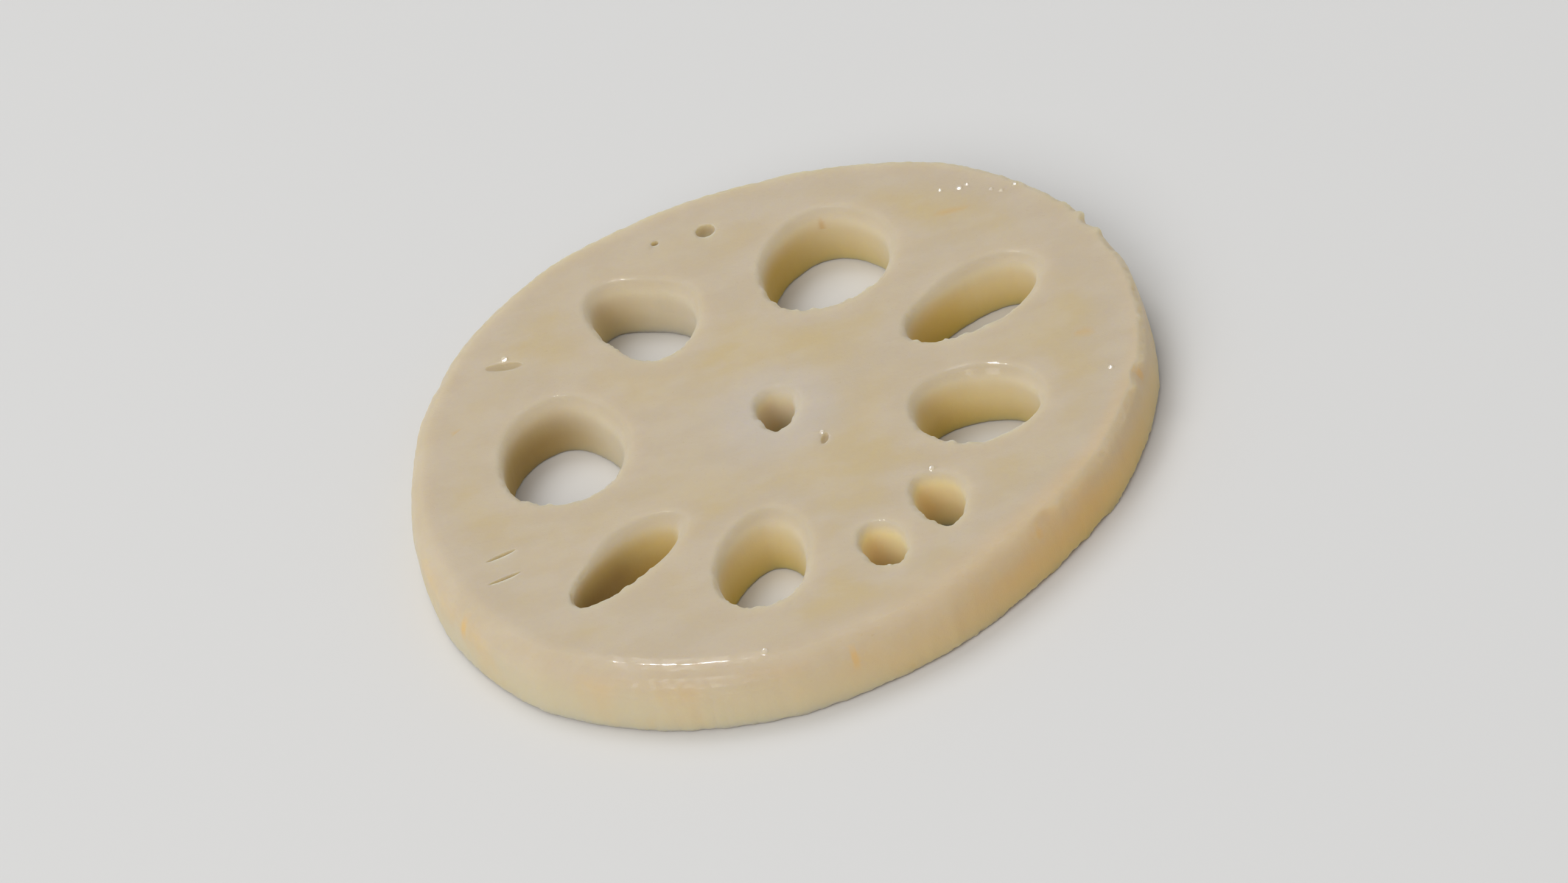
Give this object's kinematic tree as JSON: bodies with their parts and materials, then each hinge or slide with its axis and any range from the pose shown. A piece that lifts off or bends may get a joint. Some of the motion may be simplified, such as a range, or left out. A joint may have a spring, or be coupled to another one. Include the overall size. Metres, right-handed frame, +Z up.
{
  "type": "lotus root slice",
  "caption": "Round cross-cut slice of peeled lotus root with a ring of egg-shaped air channels cut through; lies flat on either face.",
  "frame": {"origin": "middle of the slice's box, on the plane of the flat underside", "axes": "+Z up along the root's own length, through the slice's thickness; +X and +Y across the slice, with +Y towards the two channels that stand side by side away from the viewer"},
  "size_m": [0.0756, 0.0756, 0.0068],
  "materials": {
    "flesh": "satin"
  },
  "bodies": {
    "root": {"slice": "flesh"}
  },
  "joints": []
}
